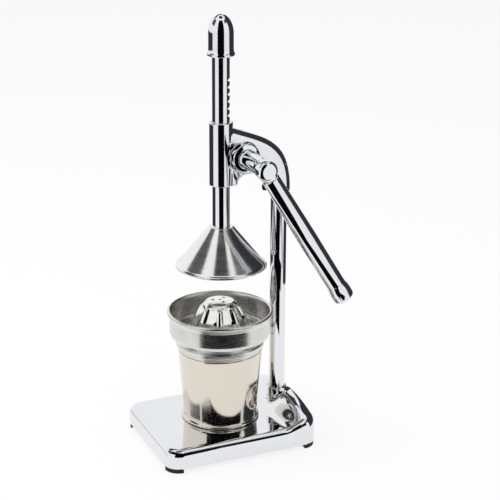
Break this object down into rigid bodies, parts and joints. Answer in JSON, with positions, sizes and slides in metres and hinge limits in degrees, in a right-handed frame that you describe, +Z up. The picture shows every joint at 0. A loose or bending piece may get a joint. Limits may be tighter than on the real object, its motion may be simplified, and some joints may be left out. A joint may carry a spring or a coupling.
{
  "type": "lever citrus juice press",
  "caption": "Free-standing hand juice press: a lever turns a pinion that drives a toothed rod and cone down over a reamer, strainer bowl and cup on a cast base.",
  "frame": {"origin": "centre of the bounding box on the surface that the feet stand on", "axes": "+Z up, -Y the front where the cup is put in, +X the side that the lever is on"},
  "size_m": [0.123, 0.1796, 0.3975],
  "materials": {
    "cast_chrome": "polished",
    "chrome_bar": "polished",
    "polished_stainless": "polished",
    "brushed_stainless": "brushed",
    "satin_stainless": "satin",
    "gear_steel": "machined",
    "zinc": "zinc plated",
    "black_steel": "black oxide",
    "bronze": "machined",
    "rubber": "matte"
  },
  "bodies": {
    "stand": {"base": "cast_chrome", "feet": "rubber", "foot_screws": "zinc", "column": "chrome_bar", "column_bolt": "zinc", "column_washer": "zinc", "head": "cast_chrome", "column_clamp_screw": "black_steel", "shaft_bush_near": "bronze", "shaft_bush_far": "bronze", "bearing_cover": "cast_chrome", "cover_screws": "zinc"},
    "lever": {"pinion_shaft": "gear_steel", "lever_hub": "cast_chrome", "hub_pin": "zinc", "lever_arm": "chrome_bar", "lever_end_cap": "cast_chrome"},
    "plunger": {"rack_rod": "chrome_bar", "top_cap": "cast_chrome", "press_cone": "brushed_stainless", "cone_washer": "zinc", "cone_nut": "zinc"},
    "cup": {"juice_cup": "polished_stainless"},
    "strainer": {"strainer_bowl": "satin_stainless", "reamer": "polished_stainless"}
  },
  "joints": [
    {"name": "lever_turn", "type": "hinge", "parent": "stand", "child": "lever", "pos_m": [-0.00255, 0.00269, 0.2715], "axis": [1, 0, 0], "range_deg": [0, 220]},
    {"name": "rack_slide", "type": "slide", "parent": "stand", "child": "plunger", "axis": [0, 0, -1], "range_m": [0, 0.0461]},
    {"name": "cup_slide", "type": "slide", "parent": "stand", "child": "cup", "axis": [0, -1, 0], "range_m": [0, 0.13]},
    {"name": "strainer_lift", "type": "slide", "parent": "cup", "child": "strainer", "axis": [0, 0, 1], "range_m": [0, 0.007]}
  ],
  "couplings": [
    {"joint": "rack_slide", "follows": "lever_turn", "m_per_rad": 0.012}
  ]
}
